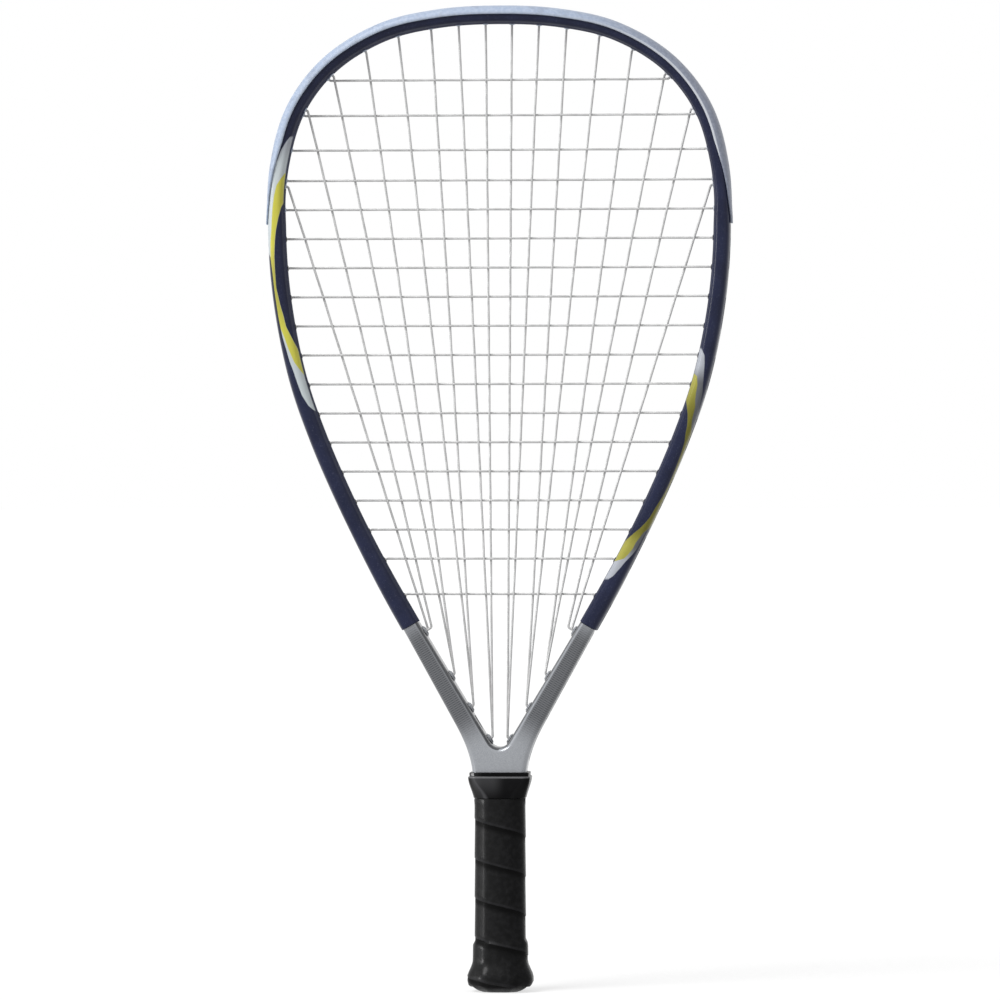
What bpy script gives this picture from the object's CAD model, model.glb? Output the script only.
import bisect
import math

import bmesh
import bpy
from mathutils import Matrix, Vector, kdtree


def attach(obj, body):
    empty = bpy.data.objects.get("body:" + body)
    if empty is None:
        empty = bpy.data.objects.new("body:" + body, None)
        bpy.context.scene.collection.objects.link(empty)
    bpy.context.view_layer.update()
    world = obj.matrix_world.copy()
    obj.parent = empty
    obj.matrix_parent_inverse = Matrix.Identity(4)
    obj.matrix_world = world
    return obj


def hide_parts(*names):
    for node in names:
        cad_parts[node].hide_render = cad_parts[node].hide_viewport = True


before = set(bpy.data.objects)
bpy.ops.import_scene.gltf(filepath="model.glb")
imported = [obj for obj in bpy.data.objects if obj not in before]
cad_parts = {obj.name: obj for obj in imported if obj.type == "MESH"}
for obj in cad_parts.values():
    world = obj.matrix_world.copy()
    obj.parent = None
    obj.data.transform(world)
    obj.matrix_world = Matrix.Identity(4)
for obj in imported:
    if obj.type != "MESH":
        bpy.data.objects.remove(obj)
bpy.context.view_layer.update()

scene = bpy.context.scene
scene.view_settings.view_transform = "Standard"


# Stand: the racket is shown upright on its butt on a white floor in a white studio, lit softly
# from the upper left, and seen from a little to its right and a little above its middle.
class Wire:
    """A number on its way through a material; sums written with it become nodes."""

    def __init__(self, paint, socket):
        self.paint, self.socket = paint, socket

    def maths(self, operation, *others):
        return self.paint.node("ShaderNodeMath", {"operation": operation}, (self, *others))

    def __add__(self, other):
        return self.maths("ADD", other)

    def __sub__(self, other):
        return self.maths("SUBTRACT", other)

    def __rsub__(self, other):
        return self.paint.node("ShaderNodeMath", {"operation": "SUBTRACT"}, (other, self))

    def __mul__(self, other):
        return self.maths("MULTIPLY", other)

    def __truediv__(self, other):
        return self.maths("DIVIDE", other)

    def __pow__(self, other):
        return self.maths("POWER", other)

    def __abs__(self):
        return self.maths("ABSOLUTE")

    __radd__, __rmul__ = __add__, __mul__

    def sine(self):
        return self.maths("SINE")

    def most(self, other):
        return self.maths("MAXIMUM", other)

    def rise(self, low, high):
        """0 below low, 1 above high, smooth between them."""
        return self.paint.node("ShaderNodeMapRange", {"interpolation_type": "SMOOTHSTEP"},
                               {"Value": self, "From Min": low, "From Max": high})


class Paint:
    """A material, or the world, with its one shader; node() adds a node and gives a wire out of it."""

    def __init__(self, name, owner=None, shader="Principled BSDF"):
        self.material = owner or bpy.data.materials.new(name)
        self.material.use_nodes = True
        self.tree = self.material.node_tree
        self.shader = self.tree.nodes[shader]

    def node(self, kind, settings=None, inputs=(), out=None):
        made = self.tree.nodes.new(kind)
        for name, value in (settings or {}).items():
            if name == "stops":
                stops = made.color_ramp.elements
                while len(stops) < len(value):
                    stops.new(1)
                for stop, (place, level) in zip(stops, value):
                    stop.position = place
                    stop.color = (level, level, level, 1)
            else:
                setattr(made, name, value)
        self.join(made, inputs)
        return Wire(self, made.outputs[out] if out else next(s for s in made.outputs if s.enabled))

    def join(self, made, inputs):
        named = inputs.items() if isinstance(inputs, dict) else enumerate(inputs)
        for key, value in named:
            socket = ([s for s in made.inputs if s.enabled and s.name == key][0]
                      if isinstance(key, str) else made.inputs[key])
            if isinstance(value, Wire):
                self.tree.links.new(value.socket, socket)
            else:
                socket.default_value = colour(*value) if isinstance(value, tuple) else value
        return made

    def point(self):
        return self.node("ShaderNodeTexCoord", out="Object")

    def place(self):
        """Object coordinates as three wires, in metres."""
        split = self.join(self.tree.nodes.new("ShaderNodeSeparateXYZ"), [self.point()])
        return [Wire(self, s) for s in split.outputs]

    def noise(self, size, detail=3):
        """Grey noise on Object coordinates whose grains are about size metres wide."""
        return self.node("ShaderNodeTexNoise", None,
                         {"Vector": self.point(), "Scale": 1 / size, "Detail": detail})

    def cells(self, size, **settings):
        return self.node("ShaderNodeTexVoronoi", settings, {"Vector": self.point(), "Scale": 1 / size})

    def note(self, name):
        """A number that the mesh carries at each of its points."""
        return self.node("ShaderNodeAttribute", {"attribute_name": name}, out="Fac")

    def mix(self, share, one, other):
        return self.node("ShaderNodeMix", {"data_type": "RGBA"},
                         {"Factor": share, "A": one, "B": other})

    def bump(self, height, strength, distance):
        return self.node("ShaderNodeBump", None,
                         {"Height": height, "Strength": strength, "Distance": distance})

    def shade(self, **inputs):
        self.join(self.shader, {name.replace("_", " "): value for name, value in inputs.items()})
        return self.material


def colour(red, green, blue):
    """A colour as a paint chart gives it, 0 to 255, turned by the sRGB curve for a shader socket."""
    return tuple((v / 255 / 12.92) if v < 10.3 else ((v / 255 + 0.055) / 1.055) ** 2.4
                 for v in (red, green, blue)) + (1,)


WHITE = (255, 255, 255)
CAMERA_DISTANCE, CAMERA_SIDE, CAMERA_HEIGHT = 4.0, math.radians(4.3), 0.31
CAMERA_ROLL = math.radians(-0.1)
VIEW_WIDTH, VIEW_MIDDLE = 0.567, Vector((0.0002, 0, 0.2787))
FLOOR_GLOW, STUDIO_LEVEL = 0.68, 0.36


def looked_at(paint):
    """1 for what is seen, straight or in gloss or glass, and 0 for what only lights the racket."""
    rays = paint.tree.nodes.new("ShaderNodeLightPath").outputs
    straight, gloss, glass = (
        Wire(paint, rays[name]) for name in ("Is Camera Ray", "Is Glossy Ray", "Is Transmission Ray"))
    return straight.most(gloss).most(glass)


floor_paint = Paint("floor_white")
shade = floor_paint.node("ShaderNodeBsdfDiffuse", None, {"Color": (168, 168, 168)})
glow = floor_paint.node("ShaderNodeEmission", None, {"Color": WHITE, "Strength": FLOOR_GLOW})
both = floor_paint.node("ShaderNodeAddShader", None, [shade, glow])
plain = floor_paint.node("ShaderNodeBsdfDiffuse", None, {"Color": (205, 205, 205)})
floor_mix = floor_paint.node("ShaderNodeMixShader", None, [looked_at(floor_paint), plain, both])
floor_paint.join(floor_paint.tree.nodes["Material Output"], {"Surface": floor_mix})

disc = bmesh.new()
bmesh.ops.create_circle(disc, cap_ends=True, radius=30, segments=96)
floor_mesh = bpy.data.meshes.new("floor")
disc.to_mesh(floor_mesh)
disc.free()
floor_mesh.materials.append(floor_paint.material)
floor = bpy.data.objects.new("floor", floor_mesh)
scene.collection.objects.link(floor)

studio = Paint("studio", bpy.data.worlds.new("studio"), "Background")
level = studio.node("ShaderNodeMapRange", None,
                    {"Value": looked_at(studio), "To Min": STUDIO_LEVEL, "To Max": 1})
scene.world = studio.shade(Color=WHITE, Strength=level)

# Each lamp has its strength, how wide it looks, and its place: round from the front, and up.
for name, strength, wide, azimuth, elevation in (
        ("key", 2.1, 30, -42, 48), ("fill", 0.3, 60, 38, 30), ("side", 1.0, 14, -74, 7)):
    lamp = bpy.data.lights.new(name, "SUN")
    lamp.energy, lamp.angle = strength, math.radians(wide)
    holder = bpy.data.objects.new(name, lamp)
    a, e = math.radians(azimuth), math.radians(elevation)
    towards = Vector((math.sin(a) * math.cos(e), -math.cos(a) * math.cos(e), math.sin(e)))
    holder.rotation_euler = towards.to_track_quat("Z", "Y").to_euler()
    scene.collection.objects.link(holder)

camera_data = bpy.data.cameras.new("camera")
camera = bpy.data.objects.new("camera", camera_data)
camera.location = (CAMERA_DISTANCE * math.sin(CAMERA_SIDE), -CAMERA_DISTANCE * math.cos(CAMERA_SIDE),
                   CAMERA_HEIGHT)
sight = VIEW_MIDDLE - camera.location
camera.rotation_euler = sight.to_track_quat("-Z", "Y").to_euler()
camera.rotation_euler.rotate_axis("Z", CAMERA_ROLL)
camera_data.lens = camera_data.sensor_width * sight.length / VIEW_WIDTH
scene.collection.objects.link(camera)
scene.camera = camera


# Head hoop: one hollow tube of moulded composite, bent to the shape of the head and cut square at
# both ends, with a groove for the string along its outside and a drilled hole for every string.
# It is lacquered deep blue, with a plain yellow and white flash painted on each side.
TOUCHING = 0.000001             # points nearer than this are one point
HANDLE_TOP, APEX, SEAM, CROWN = 0.119, 0.1328, 0.2075, 0.5528
HEAD_HALF, SEAM_HALF, GAP = 0.1265, 0.0506, 0.0003
WIDEST = SEAM + (CROWN - SEAM) * 0.673
UPPER_KNOTS = [(0, 1), (0.268, 0.983), (0.52, 0.917), (0.756, 0.757), (0.908, 0.536),
               (0.981, 0.266), (1, 0)]
LOWER_KNOTS = [(0.969, 0.815), (0.853, 0.613), (0.697, 0.462), (0.477, 0.296), (0.232, 0.136), (0, 0)]
LAST_KNOT, CURVE_STEPS, NUDGE = (0.506, 0.435), 3000, 0.0001
HOOP_DEPTH, GROOVE_DEPTH, GROOVE_HALF, GROOVE_EDGE = 0.010, 0.0033, 0.0033, 0.0003
WIDTH_CROWN, WIDTH_SIDE, WIDTH_SEAM = 0.0086, 0.0098, 0.011
WIDENS_FROM, WIDENS_TO, SEAM_SWELL, SQUARENESS = 0.419, 0.459, 0.07, 3
HOOP_WALL, GROOVE_WALL, RIM_STEPS, CAVITY_SIDES = 0.0012, 0.001, 46, 24


def between(low, high, share):
    return low + (high - low) * share


def smooth(value, low, high):
    t = min(1, max(0, (value - low) / (high - low)))
    return t * t * (3 - 2 * t)


half_knots = ([(x * HEAD_HALF, between(WIDEST, CROWN, z)) for x, z in UPPER_KNOTS]
              + [(between(SEAM_HALF, HEAD_HALF, x), between(SEAM, WIDEST, z)) for x, z in LOWER_KNOTS]
              + [(LAST_KNOT[0] * SEAM_HALF, between(APEX, SEAM, LAST_KNOT[1]))])
knots = [Vector((-x, z)) for x, z in reversed(half_knots[1:])] + [Vector(p) for p in half_knots]


def curve_point(t):
    """The bent centre line through the knots, for t from 0 to 1."""
    place = min(max(t, 0), 1) * (len(knots) - 1)
    i = min(int(place), len(knots) - 2)
    a = knots[i - 1] if i else 2 * knots[0] - knots[1]
    b, c = knots[i], knots[i + 1]
    d = knots[i + 2] if i + 2 < len(knots) else 2 * knots[-1] - knots[-2]
    steps = [(q - p).length ** 0.5 for p, q in ((a, b), (b, c), (c, d))]
    start = ((b - a) / steps[0] - (c - a) / (steps[0] + steps[1]) + (c - b) / steps[1]) * steps[1]
    end = ((c - b) / steps[1] - (d - b) / (steps[1] + steps[2]) + (d - c) / steps[2]) * steps[1]
    w = place - i
    return (b * (2 * w ** 3 - 3 * w ** 2 + 1) + start * (w ** 3 - 2 * w ** 2 + w)
            + c * (3 * w ** 2 - 2 * w ** 3) + end * (w ** 3 - w ** 2))


table = [curve_point(i / CURVE_STEPS) for i in range(CURVE_STEPS + 1)]
lengths = [0.0]
for one, other in zip(table, table[1:]):
    lengths.append(lengths[-1] + (other - one).length)


def station(arc):
    """Point, direction and outward normal of the centre line, arc metres from the crown."""
    wanted = min(max(lengths[-1] / 2 + arc, 0), lengths[-1])
    i = min(max(bisect.bisect_right(lengths, wanted) - 1, 0), CURVE_STEPS - 1)
    t = (i + (wanted - lengths[i]) / (lengths[i + 1] - lengths[i])) / CURVE_STEPS
    along = (curve_point(t + NUDGE) - curve_point(t - NUDGE)).normalized()
    return curve_point(t), along, Vector((-along.y, along.x))


def frame_point(arc, out, depth):
    point, _, normal = station(arc)
    return Vector((point.x + normal.x * out, depth, point.y + normal.y * out))


def where(test, low, high):
    """Where the test stops being true, between low and high."""
    for _ in range(40):
        middle = (low + high) / 2
        low, high = (middle, high) if test(middle) else (low, middle)
    return (low + high) / 2


SEAM_ARC = where(lambda arc: station(arc)[0].y > SEAM, 0, lengths[-1] / 2)


def hoop_width(arc):
    arc = abs(arc)
    side = between(WIDTH_CROWN, WIDTH_SIDE, smooth(arc / SEAM_ARC, WIDENS_FROM, WIDENS_TO))
    return between(side, WIDTH_SEAM, smooth(arc, SEAM_ARC - SEAM_SWELL, SEAM_ARC))


def rounded(angle, half_width, half_depth):
    """A point of the tube's section, which is between an oval and a rectangle."""
    c, s = math.cos(angle), math.sin(angle)
    size = (abs(c) ** SQUARENESS + abs(s) ** SQUARENESS) ** (-1 / SQUARENESS)
    return half_width * c * size, half_depth * s * size


def spread(start, end, count):
    return [between(start, end, i / count) for i in range(count + 1)]


def skin(rows, columns, place, notes=(), closed=True, filled=True):
    """A sheet of rows by columns, each point put where place(row, column) says, joined round
    where it is closed, its open ends filled; notes are numbers kept at each point."""
    sheet = bmesh.new()
    bmesh.ops.create_grid(sheet, x_segments=columns, y_segments=rows, size=0.5)
    layers = [sheet.verts.layers.float.new(name) for name in notes]
    for vert in sheet.verts:
        row, column = round((vert.co.y + 0.5) * rows), round((vert.co.x + 0.5) * columns)
        found = place(row, column % columns if closed else column)
        vert.co = found[0]
        for layer, value in zip(layers, found[1:]):
            vert[layer] = value
    bmesh.ops.remove_doubles(sheet, verts=sheet.verts, dist=2 * TOUCHING)
    bmesh.ops.dissolve_degenerate(sheet, dist=2 * TOUCHING, edges=sheet.edges)
    if filled:
        bmesh.ops.holes_fill(sheet, edges=[e for e in sheet.edges if e.is_boundary], sides=0)
    bmesh.ops.recalc_face_normals(sheet, faces=sheet.faces)
    return sheet


def swept(arcs, profile_at, **settings):
    """A skin along the hoop, through the profile of (out, depth) points at each arc."""
    profiles = [profile_at(arc) for arc in arcs]
    return skin(len(arcs) - 1, len(profiles[0]),
                lambda row, column: (frame_point(arcs[row], *profiles[row][column]),), **settings)


def add_shape(shape, extra):
    mesh = bpy.data.meshes.new("extra")
    extra.to_mesh(mesh)
    extra.free()
    shape.from_mesh(mesh)
    bpy.data.meshes.remove(mesh)


def make(name, shape, material, *nodes, sharp=35, slot=None):
    """The finished piece: smooth except at its sharp edges, riding with the racket."""
    mesh = bpy.data.meshes.new(name)
    shape.to_mesh(mesh)
    shape.free()
    mesh.materials.append(material)
    mesh.shade_smooth()
    mesh.set_sharp_from_angle(angle=math.radians(sharp))
    piece = bpy.data.objects.new(name, mesh)
    scene.collection.objects.link(piece)
    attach(piece, "root")
    if nodes:
        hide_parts(*nodes)
    return piece


def cut(shape, cutter):
    """The shape with the cutter's room taken out of it."""
    objects = []
    for part in (shape, cutter):
        mesh = bpy.data.meshes.new("blank")
        part.to_mesh(mesh)
        part.free()
        objects.append(bpy.data.objects.new("blank", mesh))
        scene.collection.objects.link(objects[-1])
    work, tool = objects
    drill = work.modifiers.new("drill", "BOOLEAN")
    drill.operation, drill.solver, drill.object = "DIFFERENCE", "EXACT", tool
    found = bmesh.new()
    found.from_mesh(bpy.data.meshes.new_from_object(
        work.evaluated_get(bpy.context.evaluated_depsgraph_get())))
    for blank in objects:
        mesh = blank.data
        bpy.data.objects.remove(blank)
        bpy.data.meshes.remove(mesh)
    bmesh.ops.remove_doubles(found, verts=found.verts, dist=TOUCHING)
    return found


def rod(into, start, end, radius, sides):
    """Adds a round rod from start to end to the shape."""
    axis = end - start
    turn = axis.to_track_quat("Z", "Y").to_matrix().to_4x4()
    bmesh.ops.create_cone(into, cap_ends=True, segments=sides, radius1=radius, radius2=radius,
                          depth=axis.length, matrix=Matrix.Translation((start + end) / 2) @ turn)


# The crosses go through the hoop at even heights but for a few, the mains at shares of its length.
CROSS_STEPS = [1.218] + [1] * 13 + [1.042, 1.188, 1.212]
LOWEST_CROSS, HIGHEST_CROSS, BESIDE_CROSS = 0.0179, 0.036, 0.0034
MAIN_SHARES = (0.0169, 0.0522, 0.0887, 0.1333, 0.1816)
STAND_OUT, BEND_ROOM, MAIN_LANE, HOLE_RADIUS = 0.0007, 0.0008, 0.0012, 0.00195
even_step = (CROWN - SEAM - LOWEST_CROSS - HIGHEST_CROSS) / sum(CROSS_STEPS)
CROSS_HEIGHTS = [SEAM + LOWEST_CROSS]
for step in CROSS_STEPS:
    CROSS_HEIGHTS.insert(0, CROSS_HEIGHTS[0] + step * even_step)


def mouth_of(arc, lane):
    return frame_point(arc, -hoop_width(arc) / 2 - STAND_OUT - BEND_ROOM, lane)


def lane_of(arc):
    return -MAIN_LANE if arc < 0 else MAIN_LANE


cross_right = [where(lambda arc: mouth_of(arc, 0).z > z, MAIN_SHARES[0] * SEAM_ARC, SEAM_ARC)
               for z in CROSS_HEIGHTS]
CROSS_ENDS = [(-arc, arc) for arc in cross_right]
MAIN_TOPS = [share * SEAM_ARC for share in MAIN_SHARES]
MAIN_TOPS += [cross_right[0] - BESIDE_CROSS, cross_right[1] - BESIDE_CROSS, cross_right[3] + BESIDE_CROSS]
MAIN_ARCS = [-a for a in reversed(MAIN_TOPS)] + MAIN_TOPS
string_holes = ([(arc, lane_of(arc)) for arc in MAIN_ARCS]
                + [(arc, -lane_of(arc)) for pair in CROSS_ENDS for arc in pair])
BUMPER_END = (CROSS_ENDS[4][1] + CROSS_ENDS[5][1]) / 2


def hoop_outside(arc):
    half = hoop_width(arc) / 2
    start = where(lambda a: rounded(a, half, HOOP_DEPTH)[1] < GROOVE_HALF, 0, math.pi / 2)
    rim = [rounded(a, half, HOOP_DEPTH) for a in spread(start, 2 * math.pi - start, RIM_STEPS)]
    floor = half - GROOVE_DEPTH
    return rim + [(floor + GROOVE_EDGE, -GROOVE_HALF), (floor, GROOVE_EDGE - GROOVE_HALF),
                  (floor, GROOVE_HALF - GROOVE_EDGE), (floor + GROOVE_EDGE, GROOVE_HALF)]


def hoop_inside(arc):
    half = hoop_width(arc) / 2
    low, high = HOOP_WALL - half, half - GROOVE_DEPTH - GROOVE_WALL
    turns = [rounded(a, (high - low) / 2, HOOP_DEPTH - HOOP_WALL)
             for a in spread(0, 2 * math.pi, CAVITY_SIDES)[:-1]]
    return [(x + (low + high) / 2, y) for x, y in turns]


hoop_arcs = spread(-SEAM_ARC, SEAM_ARC, 300)
hoop = swept(hoop_arcs, hoop_outside, filled=False)
cavity = swept(hoop_arcs, hoop_inside, filled=False)
bmesh.ops.reverse_faces(cavity, faces=cavity.faces)
add_shape(hoop, cavity)
rims = [e for e in hoop.edges if e.is_boundary]
for half in (-1, 1):
    bmesh.ops.bridge_loops(hoop, edges=[e for e in rims if e.verts[0].co.x * half > 0])
bmesh.ops.recalc_face_normals(hoop, faces=hoop.faces)

drills = bmesh.new()
for arc, lane in string_holes:
    width = hoop_width(arc)
    rod(drills, frame_point(arc, -width, lane), frame_point(arc, width, lane), HOLE_RADIUS, sides=20)
hoop = cut(hoop, drills)
finder = kdtree.KDTree(len(table))
for i, point in enumerate(table):
    finder.insert((point.x, 0, point.y), i)
finder.balance()


def note_out(shape):
    """Each point of the shape keeps how far out from the centre line it lies, in half widths."""
    layer = shape.verts.layers.float.get("out") or shape.verts.layers.float.new("out")
    for vert in shape.verts:
        flat = Vector((vert.co.x, vert.co.z))
        arc = lengths[finder.find((vert.co.x, 0, vert.co.z))[1]] - lengths[-1] / 2
        arc += (flat - station(arc)[0]).dot(station(arc)[1])
        point, _, normal = station(arc)
        vert[layer] = (flat - point).dot(normal) / (hoop_width(arc) / 2)


note_out(hoop)

NAVY = (28, 32, 54)
YELLOW, SOFT_YELLOW, OLIVE = (204, 199, 84), (163, 159, 76), (120, 116, 46)
SILVER, DULL_SILVER, FLASH_WHITE = (170, 174, 182), (104, 106, 110), (198, 206, 209)
hoop_paint = Paint("hoop_lacquer")
x, y, z = hoop_paint.place()
out = hoop_paint.note("out")
left_front = (x * y).maths("GREATER_THAN", 0.0)             # and the right of the rear
faces = abs(y).rise(0.0022, 0.0036)
SOFT_EDGE = 0.05


def edge_line(along, points):
    """A painted edge: how far out it lies, from -1 to 1, at each share of the flash."""
    stops = [(place, value / 2 + 0.5) for place, value in points]
    return hoop_paint.node("ShaderNodeValToRGB", {"stops": stops}, [along]) * 2 - 1


def within(edge):
    return (edge - out).rise(-SOFT_EDGE, SOFT_EDGE)


def flash(top, length, yellow_edge, inner_edge, pale_edge):
    """Shares of yellow and of pale paint in a flash, and how far down it each point lies."""
    down = (top - z) / length
    ends = down.rise(0.0, 0.01) * (1 - down.rise(0.99, 1.0))
    body = (1 - within(edge_line(down, inner_edge))) * out.rise(-0.97, -0.87) * ends * faces
    return within(edge_line(down, yellow_edge)) * body, within(edge_line(down, pale_edge)) * body, down


left_yellow, left_pale, left_down = flash(
    top=0.4856, length=0.157,
    yellow_edge=[(0.13, -1), (0.145, -0.7), (0.18, 0), (0.22, 0.25), (0.26, 0.37), (0.34, 0.47),
                 (0.38, 0.61), (0.44, 0.72), (0.50, 0.6), (0.65, 0.55), (0.70, 0.5), (0.73, 0.28),
                 (0.77, 0.08), (0.82, -0.25), (0.87, -1)],
    inner_edge=[(0.24, -1), (0.26, -0.69), (0.30, -0.33), (0.34, -0.07), (0.38, 0.1), (0.44, 0.25),
                (0.55, 0.33), (0.61, 0.14), (0.65, -0.04), (0.69, -0.14), (0.73, -0.53),
                (0.77, -0.9), (0.79, -1)],
    pale_edge=[(0, -0.7), (0.022, -0.31), (0.055, 0.14), (0.083, 0.3), (0.116, 0.6), (0.16, 0.9),
               (0.19, 1), (0.42, 1), (0.47, 0.3), (0.68, 0.3), (0.70, 0.5), (0.73, 0.47), (0.77, 0.35),
               (0.82, 0.24), (0.85, 0.1), (0.90, 0), (0.94, -0.09), (0.977, -0.42), (1, -1)])
right_yellow, right_pale, right_down = flash(
    top=0.3650, length=0.1317,
    yellow_edge=[(0.11, -1), (0.125, -0.48), (0.163, -0.15), (0.196, -0.05), (0.229, 0.13),
                 (0.257, 0.38), (0.313, 0.53), (0.341, 0.73), (0.373, 1), (0.755, 1), (0.778, 0.9),
                 (0.794, 0.57), (0.838, 0.28), (0.864, 0.29), (0.888, 0.13), (0.907, -0.08), (0.92, -1)],
    inner_edge=[(0.22, -1), (0.257, -0.52), (0.285, -0.2), (0.313, 0.06), (0.341, 0.26), (0.373, 0.4),
                (0.405, 0.62), (0.451, 0.74), (0.544, 0.84), (0.60, 0.84), (0.639, 0.78), (0.685, 0.58),
                (0.732, 0.45), (0.755, 0.25), (0.778, -0.03), (0.794, -0.33), (0.818, -0.71), (0.838, -1)],
    pale_edge=[(0, -0.85), (0.036, -0.2), (0.069, 0), (0.107, 0.18), (0.163, 0.46), (0.196, 0.65),
               (0.257, 0.79), (0.285, 0.92), (0.341, 0.97), (0.373, 1), (0.76, 1), (0.794, 0.75),
               (0.864, 0.7), (0.888, 0.55), (0.907, 0.36), (0.92, 0.2), (0.944, 0.05), (0.963, -0.11),
               (0.982, -0.25), (1, -0.65)])
worn = hoop_paint.noise(0.0006, 4)
flake = hoop_paint.noise(0.00025, 2)
ripple = hoop_paint.noise(0.012, 2)
base = hoop_paint.mix(flake.rise(0.35, 0.75) * 0.35 + ripple.rise(0.4, 0.65) * 0.2, NAVY, (48, 54, 84))
edge_rub = abs(y).rise(0.0084, 0.0098) * worn.rise(0.58, 0.72) * 0.2
base = hoop_paint.mix(edge_rub, base, (112, 117, 134))
left_silver = hoop_paint.mix(left_down.rise(0.02, 0.12), SILVER, FLASH_WHITE)
faded = left_down.rise(0.38, 0.5) * (1 - left_down.rise(0.6, 0.72)) * 0.7
left_gold = hoop_paint.mix(faded, YELLOW, SOFT_YELLOW)
shaded = right_down.rise(0.07, 0.16) * (1 - right_down.rise(0.85, 0.92))
right_silver = hoop_paint.mix(shaded, SILVER, DULL_SILVER)
shaded = right_down.rise(0.12, 0.3) * (1 - right_down.rise(0.78, 0.86))
right_gold = hoop_paint.mix(shaded, SOFT_YELLOW, OLIVE)
base = hoop_paint.mix(left_pale * left_front, base, left_silver)
base = hoop_paint.mix(right_pale * (1 - left_front), base, right_silver)
base = hoop_paint.mix(left_yellow * left_front, base, left_gold)
base = hoop_paint.mix(right_yellow * (1 - left_front), base, right_gold)
hoop_lacquer = hoop_paint.shade(
    Base_Color=base, Roughness=(1 - out.rise(-0.98, -0.75)) * 0.5 + worn * 0.12 + 0.24,
    Specular_IOR_Level=0.15,
    Normal=hoop_paint.bump(ripple * 0.6 + flake * 0.05, 0.15, 0.0004))
make("racket_head_hoop", hoop, hoop_lacquer, "head_hoop", slot="hoop_lacquer")


# Grommet strips: one dark nylon strip in the groove on each side, with a short barrel for every
# cross string, pushed through the hoop from outside so that its mouth stands out inside the head.
STRIP_THICK, STRIP_HALF, STRIP_EDGE, STRIP_STOP = 0.0009, 0.003, 0.0002, 0.010
BARREL_RADIUS, BARREL_BORE, BARREL_OUT, BARREL_EDGE, BARREL_SIDES = 0.0016, 0.00115, 0.0004, 0.0002, 18


def strip_top(arc):
    return hoop_width(arc) / 2 - GROOVE_DEPTH + GAP + STRIP_THICK


def turned_piece(section, centre, axis, steps):
    """A closed section of points turned once round the axis through the centre."""
    piece = bmesh.new()
    verts = [piece.verts.new(point) for point in section]
    loop = [piece.edges.new(pair) for pair in zip(verts, verts[1:] + verts[:1])]
    bmesh.ops.spin(piece, geom=verts + loop, cent=centre, axis=axis, angle=2 * math.pi, steps=steps,
                   use_merge=True)
    bmesh.ops.remove_doubles(piece, verts=piece.verts, dist=TOUCHING)
    bmesh.ops.recalc_face_normals(piece, faces=piece.faces)
    return piece


def with_barrels(body, holes, reach):
    """The body bored out to reach hoop widths at each hole, with a turned barrel through the hoop."""
    bores = bmesh.new()
    for arc, lane in holes:
        rod(bores, frame_point(arc, 0, lane), frame_point(arc, reach * hoop_width(arc), lane),
            BARREL_BORE, BARREL_SIDES)
    body = cut(body, bores)
    for arc, lane in holes:
        start = frame_point(arc, -hoop_width(arc) / 2 - BARREL_OUT, lane)
        end = frame_point(arc, strip_top(arc) - STRIP_THICK / 2, lane)
        axis, length = (end - start).normalized(), (end - start).length
        ring = [(BARREL_BORE, BARREL_EDGE), (BARREL_BORE + BARREL_EDGE, 0),
                (BARREL_RADIUS - BARREL_EDGE, BARREL_EDGE / 4), (BARREL_RADIUS, BARREL_EDGE * 1.5),
                (BARREL_RADIUS, length), (BARREL_BORE, length)]
        section = [start + Vector((0, 1, 0)) * radius + axis * along for radius, along in ring]
        add_shape(body, turned_piece(section, start, axis, BARREL_SIDES))
    return body


def strip_profile(arc):
    low, high, half, edge = strip_top(arc) - STRIP_THICK, strip_top(arc), STRIP_HALF, STRIP_EDGE
    return [(low, -half), (high - edge, -half), (high, edge - half), (high, half - edge),
            (high - edge, half), (low, half)]


strip_paint = Paint("strip_plastic")
grain = strip_paint.noise(0.0005, 3)
strip_plastic = strip_paint.shade(
    Base_Color=strip_paint.mix(grain.rise(0.3, 0.7), (34, 34, 40), (50, 50, 56)),
    Roughness=grain * 0.2 + 0.38, Normal=strip_paint.bump(grain, 0.3, 0.0001))

for side, word in ((-1, "left"), (1, "right")):
    ends = sorted((side * (BUMPER_END + GAP), side * (SEAM_ARC - STRIP_STOP)))
    own = [hole for hole in string_holes if ends[0] < hole[0] < ends[1]]
    strip = with_barrels(swept(spread(*ends, 110), strip_profile), own, reach=1)
    make("string_strip_" + word, strip, strip_plastic, "grommet_strip_" + word, slot="strip_plastic")


# Bumper guard: a pale nylon guard over the crown that takes the knocks, with a channel for the
# string, wings round both shoulders of the tube, and the barrels of all the strings up there.
BUMPER_TAPER, BUMPER_THICK, BUMPER_END_THICK = 0.046, 0.0014, 0.00079
BUMPER_WALL, BUMPER_REACH, BUMPER_EDGE, BUMPER_LIP = 0.00075, 0.0035, 0.00025, 0.225


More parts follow.
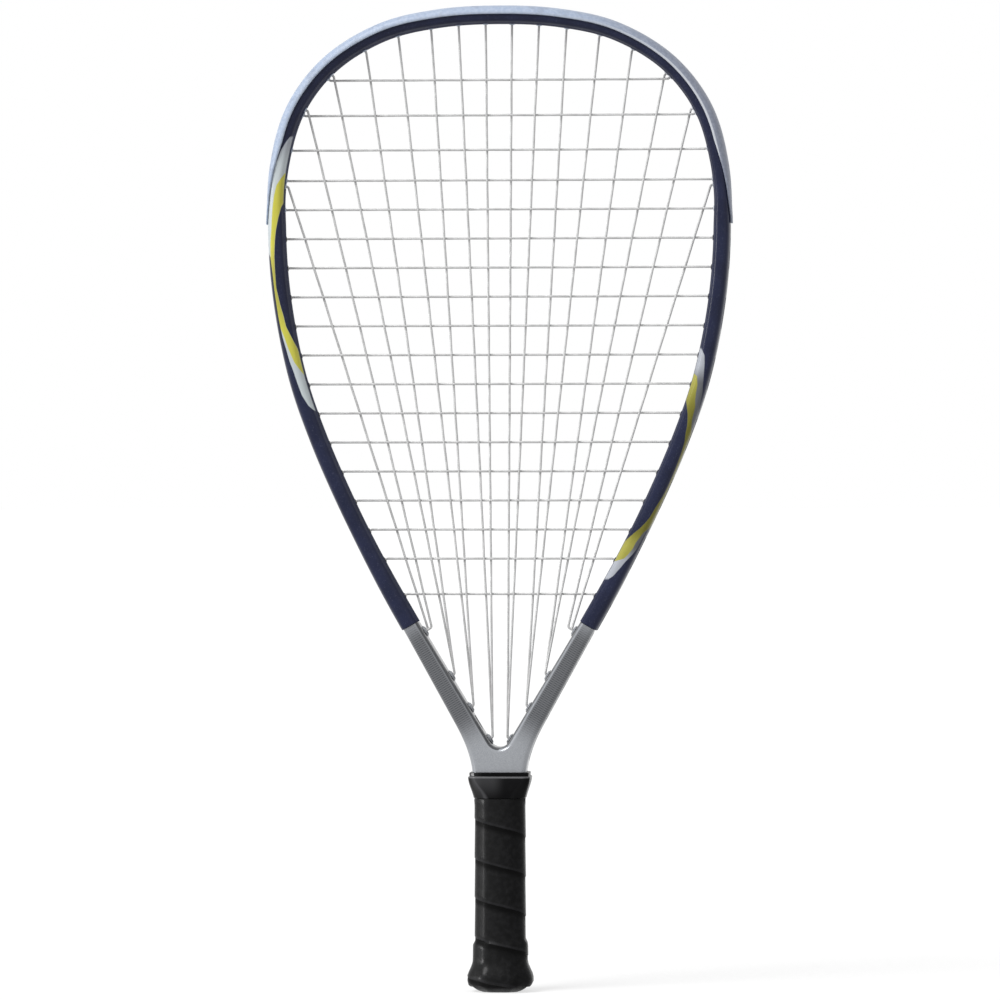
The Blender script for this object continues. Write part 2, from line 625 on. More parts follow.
def bumper_profile(arc):
    half, depth = hoop_width(arc) / 2, HOOP_DEPTH
    reach = min(1, max(0, (BUMPER_END - abs(arc)) / BUMPER_TAPER))
    thick = between(BUMPER_END_THICK, BUMPER_THICK, reach)
    inner, outer = (half + GAP, depth + GAP), (half + GAP + thick, depth + GAP + thick)

    def at_depth(value, size):
        return where(lambda a: rounded(a, *size)[1] < value, 0, math.pi / 2)

    narrow = at_depth(STRIP_HALF + 2 * GAP + BUMPER_THICK, inner)
    wide = where(lambda a: rounded(a, *inner)[0] > half - BUMPER_REACH, 0, math.pi / 2)
    tip = between(narrow, wide, reach)
    wall, floor, top = STRIP_HALF - BUMPER_WALL, half - GROOVE_DEPTH + GAP, strip_top(arc)
    under = [rounded(a, *inner) for a in spread(at_depth(STRIP_HALF, inner), tip, 12)]
    over = [rounded(a, *outer) for a in spread(at_depth(wall, outer), tip, 14)]
    over[-1] = tuple(Vector(over[-1]).lerp(Vector(under[-1]), BUMPER_LIP))
    side = ([(top, wall - BUMPER_EDGE), (top + BUMPER_EDGE, wall), (over[0][0] - BUMPER_EDGE, over[0][1])]
            + over + under[::-1] + [(floor, STRIP_HALF)])
    return side + [(x, -y) for x, y in reversed(side)]


bumper_paint = Paint("bumper_plastic")
bumper_out = bumper_paint.note("out")
scuff = bumper_paint.noise(0.0016, 5)
speck = bumper_paint.noise(0.0004, 3)
knocks = bumper_paint.noise(0.006, 4)
shoulder = bumper_paint.place()[0].rise(0.02, 0.115)
scuffed = scuff.rise(0.35, 0.7) * 0.6
pale = bumper_paint.mix(scuffed, (162, 177, 201), (188, 199, 216))
dull = bumper_paint.mix(scuffed, (130, 136, 152), (158, 164, 180))
pale = bumper_paint.mix(shoulder, pale, dull)
pale = bumper_paint.mix(knocks.rise(0.52, 0.66) * 0.35, pale, (132, 140, 158))
pale = bumper_paint.mix((1 - bumper_out.rise(0.42, 0.56)) * (shoulder * 0.6 + 0.15), pale, (216, 220, 226))
bumper_plastic = bumper_paint.shade(
    Base_Color=pale, Roughness=speck * 0.2 + 0.36,
    Normal=bumper_paint.bump(speck * 0.4 + scuff, 0.35, 0.00015))

own = [hole for hole in string_holes if abs(hole[0]) < BUMPER_END]
bumper = with_barrels(swept(spread(-BUMPER_END, BUMPER_END, 220), bumper_profile), own, reach=2)
note_out(bumper)
make("crown_bumper", bumper, bumper_plastic, "bumper_guard", slot="bumper_plastic")


# Throat yoke: the V of two straight arms, the neck and the shaft inside the handle, moulded in one
# piece. The arms butt against the ends of the hoop, each has four string holes, and the string
# crosses inside it under the crotch. Silver lacquer, with fine dark lines across the arms.
YOKE_DEPTH, YOKE_ROUND, YOKE_ROUND_DEPTH = 0.019, 0.003, 0.0042
NECK_HALF, SHOULDER, COLLAR_TOP, NECK_BEND = 0.0153, (0.0245, HANDLE_TOP + 0.032), 0.1246, 0.13
INNER_STEP, OUTER_STEP, ARM_SPARE = 0.0005, 0.0011, 0.03
ARM_GROOVE_DEPTH, ARM_GROOVE_HALF, ARM_GROOVE_SPARE, CROTCH_RADIUS = 0.0026, 0.0021, 0.010, 0.0063
SHAFT_SIZE, SHAFT_MIDDLE = (0.020, 0.014, 0.110), HANDLE_TOP - 0.0555
HOLE_SHARES, BLIND_HOLE = (0.1365, 0.3775, 0.617, 0.955), 0.0035
STRING_RADIUS, THROAT_LANE, GROMMET_WALL = 0.00065, 0.00095, 0.00057
GROMMET_BORE = (THROAT_LANE + STRING_RADIUS + GAP) / math.cos(math.pi / 8)
GROMMET_RADIUS = GROMMET_BORE + GROMMET_WALL
seam_point, seam_along, seam_out = station(SEAM_ARC)


def edge_through(low, high):
    """For the straight edge through two points: its place across at a height, its height at a place."""
    slope = (high[0] - low[0]) / (high[1] - low[1])
    return (lambda z: low[0] + (z - low[1]) * slope), (lambda x: low[1] + (x - low[0]) / slope)


inner_top = frame_point(SEAM_ARC, INNER_STEP - WIDTH_SEAM / 2, 0)
outer_top = frame_point(SEAM_ARC, WIDTH_SEAM / 2 - OUTER_STEP, 0)
inner_x, _ = edge_through((0, APEX), (inner_top.x, inner_top.z))
outer_x, outer_z = edge_through(SHOULDER, (outer_top.x, outer_top.z))


def throat_hole(side, share):
    height = between(APEX, SEAM, share)
    mouth = Vector((inner_x(height), height))

    def at(distance, lane=0.0):
        point = mouth + seam_out * distance
        return Vector((side * point.x, lane, point.y))

    width = where(lambda d: side * at(d).x < outer_x(at(d).z), 0, YOKE_DEPTH)
    return {"side": side, "at": at, "width": width, "out": Vector((side * seam_out.x, 0, seam_out.y))}


throat_holes = [[throat_hole(side, share) for share in HOLE_SHARES] for side in (-1, 1)]

crotch_turn = math.atan(inner_top.x / (inner_top.z - APEX))
crotch_middle = APEX + CROTCH_RADIUS / math.sin(crotch_turn)
arm_end = SEAM + ARM_SPARE
bend_x = between(NECK_HALF, SHOULDER[0], NECK_BEND)
neck_curve = list(zip(SHOULDER, (bend_x, outer_z(bend_x)), (NECK_HALF, COLLAR_TOP)))
right = [(outer_x(arm_end), arm_end)]
right += [[a * (1 - t) ** 2 + 2 * b * t * (1 - t) + c * t * t for a, b, c in neck_curve]
          for t in spread(0, 1, 14)]
right += [(NECK_HALF, HANDLE_TOP)]
crotch = [(CROTCH_RADIUS * math.cos(a), crotch_middle + CROTCH_RADIUS * math.sin(a))
          for a in spread(-crotch_turn, crotch_turn - math.pi, 16)]
outline = (right + [(-x, z) for x, z in reversed(right)]
           + [(-inner_x(arm_end), arm_end)] + crotch[::-1] + [(inner_x(arm_end), arm_end)])
squeeze = YOKE_ROUND / YOKE_ROUND_DEPTH


def round_off(shape, edges):
    """Rounds the edges of a shape drawn squeezed in depth, and lets it out to its full depth."""
    bmesh.ops.bevel(shape, geom=edges, offset=YOKE_ROUND, segments=8, profile=0.5, affect="EDGES",
                    material=-1)
    bmesh.ops.scale(shape, vec=(1, 1 / squeeze, 1), verts=shape.verts)


yoke = bmesh.new()
plate = yoke.faces.new([yoke.verts.new((x, -YOKE_DEPTH / 2 * squeeze, z)) for x, z in outline])
raised = bmesh.ops.extrude_face_region(yoke, geom=[plate])["geom"]
bmesh.ops.translate(yoke, vec=(0, YOKE_DEPTH * squeeze, 0),
                    verts=[v for v in raised if isinstance(v, bmesh.types.BMVert)])
bmesh.ops.recalc_face_normals(yoke, faces=yoke.faces)
round_off(yoke, [e for e in yoke.edges if abs(e.verts[0].co.y - e.verts[1].co.y) < TOUCHING])
for half in (-1, 1):
    along = Vector((half * seam_along.x, 0, seam_along.y))
    plane = Vector((half * seam_point.x, 0, seam_point.y)) + along * GAP
    bmesh.ops.bisect_plane(yoke, geom=yoke.verts[:] + yoke.edges[:] + yoke.faces[:],
                           plane_co=plane, plane_no=-along, clear_outer=False)
    gone = [v for v in yoke.verts if (v.co - plane).dot(along) < -2 * TOUCHING and v.co.x * half > 0]
    bmesh.ops.delete(yoke, geom=gone, context="VERTS")
bmesh.ops.holes_fill(yoke, edges=[e for e in yoke.edges if e.is_boundary], sides=0)
shaft = bmesh.ops.create_cube(yoke, size=1)["verts"]
bmesh.ops.scale(yoke, vec=SHAFT_SIZE, verts=shaft)
bmesh.ops.translate(yoke, vec=(0, 0, SHAFT_MIDDLE), verts=shaft)
bmesh.ops.recalc_face_normals(yoke, faces=yoke.faces)

drills = bmesh.new()
for row in throat_holes:
    for i, hole in enumerate(row):
        end = hole["at"](2 * hole["width"] if i else BLIND_HOLE)
        rod(drills, hole["at"](-2 * hole["width"]), end, GROMMET_RADIUS + GAP, sides=24)
yoke = cut(yoke, drills)
grooves = bmesh.new()
for row in throat_holes:
    bottom, top = row[0], row[3]
    start = bottom["at"](bottom["width"] + HOOP_DEPTH - ARM_GROOVE_DEPTH)
    end = top["at"](top["width"] + HOOP_DEPTH - ARM_GROOVE_DEPTH)
    run = end - start
    cube = bmesh.ops.create_cube(grooves, size=1)["verts"]
    bmesh.ops.scale(grooves, vec=(2 * HOOP_DEPTH, 2 * ARM_GROOVE_HALF, run.length + ARM_GROOVE_SPARE),
                    verts=cube)
    bmesh.ops.rotate(grooves, cent=(0, 0, 0), verts=cube,
                     matrix=Matrix.Rotation(math.atan2(run.x, run.z), 3, "Y"))
    bmesh.ops.translate(grooves, vec=(start + end) / 2, verts=cube)
yoke = cut(yoke, grooves)

LINE_PITCH, WEAVE_PITCH, GREY_LINE, GREY_BETWEEN = 0.00125, 0.0027, (40, 42, 46), (96, 98, 102)
silver_paint = Paint("silver_lacquer")
x, y, z = silver_paint.place()
flake = silver_paint.noise(0.0002, 3)
cloud = silver_paint.noise(0.006, 2)
up_arm = abs(x) * math.sin(crotch_turn) + (z - crotch_middle) * math.cos(crotch_turn)
off_line = abs(x) * math.cos(crotch_turn) - (z - APEX) * math.sin(crotch_turn)
off_round = (x * x + (z - crotch_middle) ** 2) ** 0.5 - CROTCH_RADIUS
on_arm = up_arm.maths("GREATER_THAN", 0.0)
off_edge = off_line * on_arm + off_round * (1 - on_arm)     # how far from the inner edge of the V
across = (off_edge * (2 * math.pi / WEAVE_PITCH)).sine() * 0.6 + 0.7
weave = (up_arm * (2 * math.pi / LINE_PITCH)).sine() * across
mid_arm = up_arm.rise(0.0, 0.022) * (1 - up_arm.rise(0.068, 0.088)) * off_edge.rise(0.0013, 0.0023)
silver = silver_paint.mix(flake.rise(0.35, 0.7), (138, 141, 146), (166, 169, 174))
hatched = silver_paint.mix((weave + flake).rise(-0.4, 1.2), GREY_LINE, GREY_BETWEEN)
silver = silver_paint.mix(mid_arm * 0.92, silver, hatched)
edge_shade = 1 - (off_edge + x.rise(-0.001, 0.001) * 0.0009).rise(0.0014, 0.002)
silver = silver_paint.mix(edge_shade * 0.85, silver, GREY_LINE)
silver_lacquer = silver_paint.shade(
    Base_Color=silver, Metallic=0.35, Roughness=flake * 0.15 + 0.26, Coat_Weight=0.5, Coat_Roughness=0.1,
    Normal=silver_paint.bump(cloud * 0.5 + flake * 0.15, 0.15, 0.0003))
make("throat_arms_and_neck", yoke, silver_lacquer, "throat_yoke", slot="silver_lacquer", sharp=30)


# Throat grommets: eight flanged eyelets of grey plastic, pressed into the arms from the
# inside of the throat, each round enough for the two main strings that pass through it.
RIM, FLANGE, SNOUT, EYELET_EDGE, BLIND_EYELET = 0.0008, 0.0006, 0.0014, 0.0001, 0.0032
eyelet_paint = Paint("grommet_plastic")
mist = eyelet_paint.noise(0.0008, 3)
eyelet_plastic = eyelet_paint.shade(
    Base_Color=eyelet_paint.mix(mist.rise(0.3, 0.7), (128, 131, 136), (162, 165, 170)),
    Roughness=mist * 0.15 + 0.2, Normal=eyelet_paint.bump(mist, 0.2, 0.0001))

for row in throat_holes:
    for i, hole in enumerate(row):
        end = hole["width"] - ARM_GROOVE_DEPTH if i else BLIND_EYELET
        flange, rim, edge = -GAP - FLANGE, GROMMET_RADIUS + RIM, EYELET_EDGE
        section = [(2 * edge - SNOUT, GROMMET_BORE), (-SNOUT, GROMMET_BORE + 1.8 * edge),
                   (-SNOUT, GROMMET_RADIUS - 2 * edge), (2 * edge - SNOUT, GROMMET_RADIUS),
                   (flange - edge, GROMMET_RADIUS), (flange, GROMMET_RADIUS + edge),
                   (flange, rim - 4 * edge), (flange + 3 * edge, rim), (-GAP - edge, rim),
                   (-GAP, rim - edge), (-GAP, GROMMET_RADIUS), (end, GROMMET_RADIUS), (end, GROMMET_BORE)]
        eyelet = turned_piece([hole["at"](along, radius) for along, radius in section], hole["at"](0),
                              hole["out"], steps=28)
        word = "left" if hole["side"] < 0 else "right"
        make(f"throat_eyelet_{word}_{i + 1}", eyelet, eyelet_plastic, f"throat_grommet_{word}_{i + 1}",
             slot="grommet_plastic")


# Strings: one long nylon string for the sixteen mains, up and down through the throat grommets,
# and a second for the eighteen crosses, woven over and under the mains and running on outside
# the hoop in the channel of the strips and the bumper.
RUN_HEIGHT, RUN_STEP, TAIL, PAIR_SPREAD = 0.00155, 0.006, 0.0045, 0.0025
TURN, OUTER_TURN, CROSS_OFFSET, CROSS_TURN = 0.0015, 0.0012, 0.000975, 0.006
PASSAGE_HALF, PASSAGE_HEIGHT = 0.0055, crotch_middle - CROTCH_RADIUS - 0.0048
STRAIGHT, BEND_STEP, STRING_SIDES, WRAP_PITCH = 0.01, 0.4, 12, 0.0011
HALF_MAINS = len(MAIN_ARCS) // 2


def throat_mouth(row, hole, lane, inner):
    apart = PAIR_SPREAD if inner and hole is row[3] else 0
    return hole["at"](-SNOUT - BEND_ROOM - apart, lane)


def throat_turn(main):
    """The bend of a main outside its throat hole, where it turns along the arm."""
    hole = main["hole"]
    return hole["at"](hole["width"] - ARM_GROOVE_DEPTH + RUN_HEIGHT, main["lane"]), OUTER_TURN


def throat_lane(i):
    return THROAT_LANE if i % 2 == 0 else -THROAT_LANE


def passage():
    """The bends of the main string on its way from arm to arm under the crotch."""
    corners = []
    for side in (-1, 1):
        hole = throat_holes[0 if side < 0 else 1][0]
        lane, radius = throat_lane(HALF_MAINS - 1 if side < 0 else HALF_MAINS), 2 * OUTER_TURN
        leg = [(hole["at"](BLIND_EYELET + radius, lane), radius),
               (Vector((side * PASSAGE_HALF, lane, PASSAGE_HEIGHT)), radius)]
        corners += leg if side < 0 else leg[::-1]
    return corners


mains = []
for i, arc in enumerate(MAIN_ARCS):
    from_middle = HALF_MAINS - 1 - i if i < HALF_MAINS else i - HALF_MAINS
    row = throat_holes[i // HALF_MAINS]
    hole = row[from_middle // 2]
    mains.append({"arc": arc, "hole": hole, "lane": throat_lane(i), "top": mouth_of(arc, lane_of(arc)),
                  "low": throat_mouth(row, hole, throat_lane(i), from_middle % 2 == 0)})


def woven(i, j, side):
    """The bend where main i and cross j meet, if they do; side is -1 for the main, 1 for the cross."""
    main, height = mains[i], CROSS_HEIGHTS[j]
    share = (main["top"].z - height) / (main["top"].z - main["low"].z)
    x = between(main["top"].x, main["low"].x, share)
    left, right = (mouth_of(arc, 0).x for arc in CROSS_ENDS[j])
    if not (0 < share < 1 and left < x < right):
        return []
    return [(Vector((x, side * CROSS_OFFSET * (-1) ** (i + j), height)), CROSS_TURN)]


def over_hoop(arc, lane, turn=OUTER_TURN):
    return frame_point(arc, strip_top(arc) + RUN_HEIGHT, lane), turn


def outer_run(start, end, lane):
    """The bends of a string on its way outside the hoop from one hole to the next."""
    count = max(1, round(abs(end - start) / RUN_STEP))
    return [over_hoop(arc, lane, OUTER_TURN if k in (0, count) else 0)
            for k, arc in enumerate(spread(start, end, count))]


def main_line(i):
    middle = sum((woven(i, j, -1) for j in range(len(CROSS_HEIGHTS))), [])
    return [(mains[i]["top"], TURN)] + middle + [(mains[i]["low"], TURN)]


def main_tail(main):
    hole = main["hole"]
    return throat_turn(main)[0] + hole["out"].cross(Vector((0, hole["side"], 0))) * TAIL, 0


def cross_tail(arc):
    return [over_hoop(arc - math.copysign(TAIL, arc), -lane_of(arc), 0), over_hoop(arc, -lane_of(arc))]


main_corners = [main_tail(mains[0]), throat_turn(mains[0])]
for i in range(0, len(mains), 2):
    up, down = mains[i], mains[i + 1]
    main_corners += main_line(i)[::-1]
    main_corners += outer_run(up["arc"], down["arc"], lane_of(up["arc"]))
    main_corners += main_line(i + 1)
    if i + 2 == HALF_MAINS:
        main_corners += passage()
    else:
        main_corners.append(throat_turn(down))
        main_corners.append(throat_turn(mains[i + 2]) if i + 2 < len(mains) else main_tail(down))

cross_ways = [ends if j % 2 == 0 else ends[::-1] for j, ends in enumerate(CROSS_ENDS)]
cross_corners = cross_tail(cross_ways[0][0])
for j, (first, last) in enumerate(cross_ways):
    middle = sum((woven(i, j, 1) for i in range(len(mains))), [])
    if j % 2 == 1:
        middle.reverse()
    cross_corners += ([(mouth_of(first, -lane_of(first)), TURN)] + middle
                      + [(mouth_of(last, -lane_of(last)), TURN)])
    if j + 1 < len(cross_ways):
        cross_corners += outer_run(last, cross_ways[j + 1][0], -lane_of(last))
cross_corners += cross_tail(cross_ways[-1][1])[::-1]


def round_corner(before, at, after, radius, count=None):
    """Points round a corner that is rounded off to the radius, or the point itself if it is straight."""
    back, ahead = (before - at).normalized(), (after - at).normalized()
    turn = math.pi - back.angle(ahead)
    if not radius or turn < STRAIGHT:
        return [at]
    count = count or max(2, math.ceil(turn / BEND_STEP))
    reach = radius * math.tan(turn / 2)
    middle = at + (back + ahead).normalized() * (radius / math.cos(turn / 2))
    start, end = at + back * reach - middle, at + ahead * reach - middle
    return [middle + (start * math.sin((1 - k / count) * turn) + end * math.sin(k / count * turn))
            / math.sin(turn) for k in range(count + 1)]


def string_tube(corners):
    """A round string through the corners; it keeps its length and its turn at each point."""
    path = [corners[0][0]]
    for before, (at, radius), after in zip(corners, corners[1:], corners[2:]):
        path += round_corner(before[0], at, after[0], radius)
    path.append(corners[-1][0])
    rings, side, run = [], Vector((0, 1, 0)), 0.0
    for i, point in enumerate(path):
        before = (point - path[max(i - 1, 0)]).normalized()
        after = (path[min(i + 1, len(path) - 1)] - point).normalized()
        along = (before + after).normalized()
        side = (side - along * side.dot(along)).normalized()
        run += (point - path[max(i - 1, 0)]).length
        rings.append((point, side.copy(), along.cross(side), run))

    def place(row, column):
        point, one, other, length = rings[row]
        angle = 2 * math.pi * column / STRING_SIDES
        c, s = math.cos(angle), math.sin(angle)
        return point + (one * c + other * s) * STRING_RADIUS, length, c, s
    return skin(len(path) - 1, STRING_SIDES, place, ("length", "turn_c", "turn_s"))


string_paint = Paint("string")
run, turn_c, turn_s = (string_paint.note(name) for name in ("length", "turn_c", "turn_s"))
phase = run * (2 * math.pi / WRAP_PITCH)
wrap = phase.sine() * turn_c + phase.maths("COSINE") * turn_s
tint = string_paint.noise(0.004, 2)
nylon = string_paint.mix(tint.rise(0.3, 0.7), (192, 192, 192), (210, 210, 210))
nylon = string_paint.mix(wrap.rise(0.2, 0.9) * 0.25, nylon, (158, 158, 160))
string_material = string_paint.shade(
    Base_Color=nylon, Roughness=tint * 0.1 + 0.26, Coat_Weight=0.3, Coat_Roughness=0.15,
    Normal=string_paint.bump(wrap, 0.35, 0.00008))
make("mains", string_tube(main_corners), string_material, "main_string", slot="string", sharp=60)
make("crosses", string_tube(cross_corners), string_material, "cross_string", slot="string", sharp=60)


# Pallets: two halves of stiff foam that build the handle's octagon round the shaft. Their solids
# are the right shape and stay; they get the cut face of closed foam.
foam_paint = Paint("pallet_foam")
cells = foam_paint.cells(0.0006)
tone = foam_paint.noise(0.008, 3)
foam = foam_paint.shade(
    Base_Color=foam_paint.mix(cells.rise(0.1, 0.6), (50, 50, 53), (76, 76, 79)),
    Roughness=tone * 0.1 + 0.78, Normal=foam_paint.bump(cells, 0.5, 0.0002))
for node in ("pallet_front", "pallet_rear"):
    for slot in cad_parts[node].material_slots:
        slot.material = foam


# Butt cap: a moulded rubber cup over the end of the pallets, flared at its foot so that the hand
# can't slip off, with two holes in its base for a wrist cord.
PALLET_HALF = (0.0124, 0.0106)
CAP_BASE, CAP_TOP, CAP_WALL, CAP_EDGE, CAP_CORNER = 0.004, 0.027, 0.0009, 0.0003, 0.0032
CAP_FLARE, CAP_WIDEST, CAP_FLARE_END, CAP_TUCK = 0.0031, 0.0075, 0.018, 0.38
POCKET_EDGE, POCKET_CORNER, CORD_APART, CORD_HOLE = 0.0002, 0.0008, 0.006, 0.0023
CORNER_STEPS, FOOT_SHARE, FOOT_EDGE = 5, 0.97, 0.0002


def soft_octagon(half_width, half_depth, radius, flats=0.5):
    """An octagon with its corners rounded off; flats is the share its broad faces take."""
    a, b, c, d = half_width, half_depth, half_width * flats, half_depth * flats
    corners = [Vector(p) for p in ((a, -d), (a, d), (c, b), (-c, b), (-a, d), (-a, -d), (-c, -b), (c, -b))]
    return sum((round_corner(corners[i - 1], corners[i], corners[(i + 1) % 8], radius, CORNER_STEPS)
                for i in range(8)), [])


def cap_half(z):
    flare = CAP_FLARE * (1 - smooth(z, CAP_WIDEST, CAP_FLARE_END))
    below = max(0, 1 - z / CAP_WIDEST)
    shrink = 1 - CAP_TUCK * below ** 3
    return [(half + GAP + CAP_WALL + flare) * shrink for half in PALLET_HALF]


def stacked(rings):
    """A closed shape through rings of points, each a height and its outline."""
    return skin(len(rings) - 1, len(rings[0][1]),
                lambda row, column: (Vector((*rings[row][1][column], rings[row][0])),))


cap_heights = spread(0, CAP_WIDEST, 16) + spread(CAP_WIDEST, CAP_FLARE_END, 10)[1:] + [CAP_TOP - CAP_EDGE]
rings = [(z, soft_octagon(*cap_half(z), CAP_CORNER)) for z in cap_heights]
rings[:1] = [(0, [p * FOOT_SHARE for p in rings[0][1]]), (FOOT_EDGE, rings[0][1])]
rings.append((CAP_TOP, soft_octagon(*[half - CAP_EDGE for half in cap_half(CAP_TOP)], CAP_CORNER)))
for z, wider in ((CAP_TOP, POCKET_EDGE), (CAP_TOP - POCKET_EDGE, 0), (CAP_BASE, 0)):
    rings.append((z, soft_octagon(*[half + GAP + wider for half in PALLET_HALF], POCKET_CORNER)))
cords = bmesh.new()
for side in (-1, 1):
    rod(cords, Vector((side * CORD_APART, 0, -CAP_BASE)), Vector((side * CORD_APART, 0, 2 * CAP_BASE)),
        CORD_HOLE, sides=28)
cap = cut(stacked(rings), cords)

cap_paint = Paint("cap_rubber")
pores = cap_paint.noise(0.0004, 4)
wear = cap_paint.noise(0.007, 4)
cx, _, cz = cap_paint.place()
cap_black = cap_paint.mix(wear.rise(0.4, 0.7) * 0.6, (10, 10, 11), (22, 22, 23))
foot_wear = (1 - cz.rise(0.0008, 0.003)) * (wear.rise(0.3, 0.6) * 0.4 + 0.45)
cap_black = cap_paint.mix(foot_wear, cap_black, (92, 92, 94))
cap_rubber = cap_paint.shade(Base_Color=cap_black, Specular_IOR_Level=0.1,
                             Roughness=pores * 0.15 + 0.28 + cx.rise(0.0125, 0.0145) * 0.45,
                             Normal=cap_paint.bump(pores, 0.35, 0.00012))
make("butt_cap_rubber", cap, cap_rubber, "butt_cap", slot="cap_rubber")


# Grip: a cushioned black ribbon wound up the pallets from the cap to the collar, each turn lying
# on the edge of the one below, so that a slanting seam shows on every facet.
GRIP_THICK, GRIP_LEDGE, GRIP_PITCH, GRIP_LOW, GRIP_SEAM = 0.0014, 0.00034, 0.0223, 0.0032, 0.0011
GRIP_CORNER, LINING_CORNER, GRIP_TURNS, GRIP_EDGE, GRIP_HEM = 0.008, 0.001, 7, 0.0003, 0.0004
LEDGE_RISE, LEDGE_STEPS = 0.0005, 9
FLARE_START, FLARE_WIDTH, FLARE_DEPTH, COLLAR_LOW = 0.104, 0.0026, 0.2, 0.1098
GRIP_TOP, CAP_STEP = COLLAR_LOW - GAP, CAP_TOP + 2 * GAP


def handle_half(z):
    """Half the handle's width and depth under the grip; it flares a little towards the neck."""
    flare = FLARE_WIDTH * smooth(z, FLARE_START, COLLAR_TOP)
    return PALLET_HALF[0] + flare, PALLET_HALF[1] + flare * FLARE_DEPTH


def grip_inside(z):
    over = 1 - min(1, max(0, (z - CAP_STEP) / CAP_WALL))
    return [between(handle, cap, over) + GAP
            for handle, cap in zip(handle_half(z), cap_half(min(z, CAP_TOP)))]


rim = soft_octagon(*[half + GAP + GRIP_THICK for half in PALLET_HALF], GRIP_CORNER)
COLUMNS = len(rim)
rim_run = [0.0]
for i, point in enumerate(rim):
    rim_run.append(rim_run[-1] + (rim[(i + 1) % COLUMNS] - point).length)


def seam_height(column, turn):
    return GRIP_SEAM + GRIP_PITCH * (turn - rim_run[column] / rim_run[-1])


LEDGE = [(0, 0.0), (0.0001, 0.35), (0.00025, 0.75), (LEDGE_RISE, 1.0)]
LEDGE += [(LEDGE_RISE + (GRIP_PITCH - LEDGE_RISE) * k / LEDGE_STEPS, 1 - k / LEDGE_STEPS)
          for k in range(1, LEDGE_STEPS)]
grip_rows = [(turn, step, ledge) for turn in range(GRIP_TURNS) for step, ledge in LEDGE]

under_heights = [GRIP_TOP, FLARE_START, CAP_STEP + CAP_WALL, CAP_STEP] + spread(CAP_TOP, GRIP_LOW, 24)
under_rings = [(z, soft_octagon(*grip_inside(z), LINING_CORNER)) for z in under_heights]


def grip_place(row, column):
    """The wound outside from the bottom up, then the lining down to the first row again."""
    share = rim_run[column] / rim_run[-1]
    round_notes = math.cos(2 * math.pi * share), math.sin(2 * math.pi * share)
    if len(grip_rows) <= row < len(grip_rows) + len(under_rings):
        z, ring = under_rings[row - len(grip_rows)]
        return Vector((*ring[column % COLUMNS], z)), *round_notes
    turn, step, ledge = grip_rows[row if row < len(grip_rows) else 0]
    z = seam_height(column, turn) + step
    low = z < GRIP_LOW
    if z > GRIP_TOP or low:
        z = GRIP_LOW if low else GRIP_TOP
        above = (z - seam_height(column, 0)) % GRIP_PITCH
        ledge = 1 - above / GRIP_PITCH
    thick = GRIP_THICK + GRIP_LEDGE * ledge
    if z < GRIP_LOW + GRIP_HEM or z > GRIP_TOP - GRIP_HEM:
        thick -= GRIP_EDGE
    point = soft_octagon(*[half + thick for half in grip_inside(z)], GRIP_CORNER)[column % COLUMNS]
    return Vector((*point, z)), *round_notes


grip = skin(len(grip_rows) + len(under_rings), COLUMNS, grip_place, ("round_cos", "round_sin"),
            closed=False, filled=False)

grip_paint = Paint("grip_ribbon")
gx, _, gz = grip_paint.place()
leather = grip_paint.cells(0.0007, feature="DISTANCE_TO_EDGE")
fold = grip_paint.noise(0.003, 4)
dust = grip_paint.noise(0.0005, 3)
share_round = grip_paint.note("round_sin").maths("ARCTAN2", grip_paint.note("round_cos")) / (2 * math.pi)
above = (gz - GRIP_SEAM + share_round * GRIP_PITCH).maths("FLOORED_MODULO", GRIP_PITCH)
valley = above.rise(GRIP_PITCH - 0.0045, GRIP_PITCH - 0.0012) * 0.9
rubbed_edge = above.rise(0.0002, 0.0006) * (1 - above.rise(0.001, 0.0022))
black = grip_paint.mix(fold.rise(0.35, 0.75), (9, 9, 10), (24, 24, 25))
black = grip_paint.mix(rubbed_edge * (fold * 0.8 + 0.2), black, (38, 38, 40))
black = grip_paint.mix(dust.rise(0.6, 0.8) * 0.2, black, (48, 48, 49))
black = grip_paint.mix(valley, black, (2, 2, 2))
grip_ribbon = grip_paint.shade(
    Base_Color=black, Roughness=fold * 0.14 + valley * 0.25 + 0.26, Specular_IOR_Level=0.05,
    Coat_Weight=(1 - gx.rise(-0.012, 0.012) * 0.9) * (1 - valley * 0.8) * 0.26, Coat_Roughness=0.25,
    Normal=grip_paint.bump(leather.rise(0.0, 0.25) * 0.4 + fold * 0.6, 0.5, 0.00018))
make("wound_grip", grip, grip_ribbon, "grip_wrap", slot="grip_ribbon", sharp=50)


# Collar: a moulded rubber sleeve that covers the top of the grip and closes on the neck. Its broad
# flats grow broader up to a lip, and above the lip a slimmer ring with a rolled rim is set in.
SIDE_WALL, NECK_WALL, FRONT_WALL, COLLAR_TUCK = 0.0018, 0.0020, 0.0017, 0.0024
FLATS_LOW, FLATS_HIGH, FLATS_BEND, CORNER_LOW, CORNER_HIGH = 0.5, 0.8, 1.2, 0.006, 0.0026
LIP, BEAD, ROLL, COLLAR_EDGE, RIDGE_HALF, FINE = COLLAR_TOP - 0.0024, 0.0006, 0.0005, 0.0003, 0.0022, 0.0001


def collar_size(z):
    """Half the collar's width at a height, the share of it that its front takes, and its corners."""
    rise = smooth(z, COLLAR_LOW - COLLAR_TUCK, LIP)
    return (between(PALLET_HALF[0] + SIDE_WALL, NECK_HALF + NECK_WALL, rise) + GAP,
            between(FLATS_LOW, FLATS_HIGH, rise ** FLATS_BEND), between(CORNER_LOW, CORNER_HIGH, rise))


def collar_ring(z, inset=0.0):
    half, flats, corner = collar_size(z)
    return soft_octagon(half - inset, PALLET_HALF[1] + GAP + FRONT_WALL - inset, corner, flats)


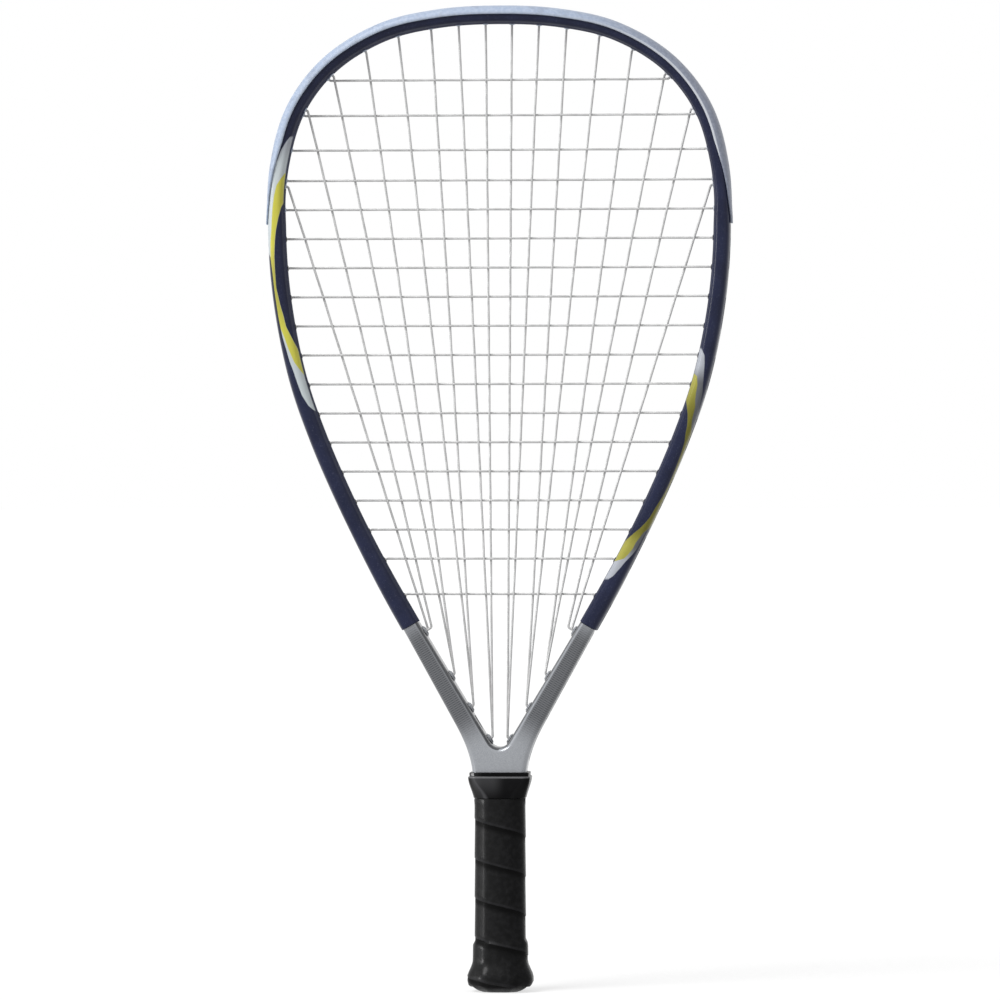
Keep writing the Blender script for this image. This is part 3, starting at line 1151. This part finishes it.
heights = spread(COLLAR_LOW + COLLAR_EDGE, LIP - COLLAR_EDGE, 14)
collar_rings = [(COLLAR_LOW, collar_ring(COLLAR_LOW, COLLAR_EDGE))] + [(z, collar_ring(z)) for z in heights]
for z, inset in ((LIP - FINE, FINE), (LIP, COLLAR_EDGE), (LIP + FINE, BEAD + FINE),
                 (LIP + 4 * FINE, BEAD + 2 * FINE), (COLLAR_TOP - 6 * FINE, BEAD + FINE)):
    collar_rings.append((z, collar_ring(LIP, inset)))
for a in (math.pi / 6, math.pi / 3, math.pi / 2):
    collar_rings.append((COLLAR_TOP - ROLL * (1 - math.sin(a)),
                         collar_ring(LIP, BEAD + FINE + ROLL * (1 - math.cos(a)))))
rooms = [(z, soft_octagon(*[half + GAP for half in handle_half(z)], POCKET_CORNER))
         for z in [COLLAR_LOW - COLLAR_TUCK] + spread(COLLAR_LOW, HANDLE_TOP + GAP, 6)]
collar = cut(stacked(collar_rings), stacked(rooms))
neck_room = bmesh.new()
bmesh.ops.create_cube(neck_room, size=1)
bmesh.ops.scale(neck_room, vec=(2 * (NECK_HALF + GAP), (YOKE_DEPTH + 2 * GAP) * squeeze, 0.02),
                verts=neck_room.verts)
round_off(neck_room, [e for e in neck_room.edges if abs(e.verts[0].co.z - e.verts[1].co.z) > 0.01])
bmesh.ops.translate(neck_room, vec=(0, 0, HANDLE_TOP - GAP + 0.01), verts=neck_room.verts)
collar = cut(collar, neck_room)
ridge_note = collar.verts.layers.float.new("ridge")
for vert in collar.verts:
    half, flats, _ = collar_size(min(vert.co.z, LIP))
    vert[ridge_note] = max(0, 1 - abs(abs(vert.co.x) - half * flats) / RIDGE_HALF)

collar_paint = Paint("collar_rubber")
skin_noise = collar_paint.noise(0.0005, 3)
handled = collar_paint.noise(0.006, 3)
collar_x, _, collar_z = collar_paint.place()
below_lip = 1 - collar_z.rise(LIP, LIP + 0.0003)
rubbed = collar_z.rise(LIP - 0.0011, LIP - 0.0005) * below_lip
shine = collar_paint.note("ridge") * below_lip * (1 - collar_x.rise(-0.004, 0.004) * 0.9)
collar_black = collar_paint.mix(handled.rise(0.4, 0.7), (5, 5, 6), (11, 11, 12))
collar_black = collar_paint.mix(shine, collar_black, (74, 74, 76))
collar_rubber = collar_paint.shade(
    Base_Color=collar_paint.mix(rubbed * (handled * 0.4 + 0.6), collar_black, (112, 112, 114)),
    Roughness=skin_noise * 0.12 + 0.2, Specular_IOR_Level=0.04,
    Coat_Weight=(1 - collar_x.rise(-0.0145, -0.0085) * 0.95) * 0.45, Coat_Roughness=0.2,
    Normal=collar_paint.bump(skin_noise, 0.25, 0.0001))
make("grip_collar_rubber", collar, collar_rubber, "grip_collar", slot="collar_rubber")
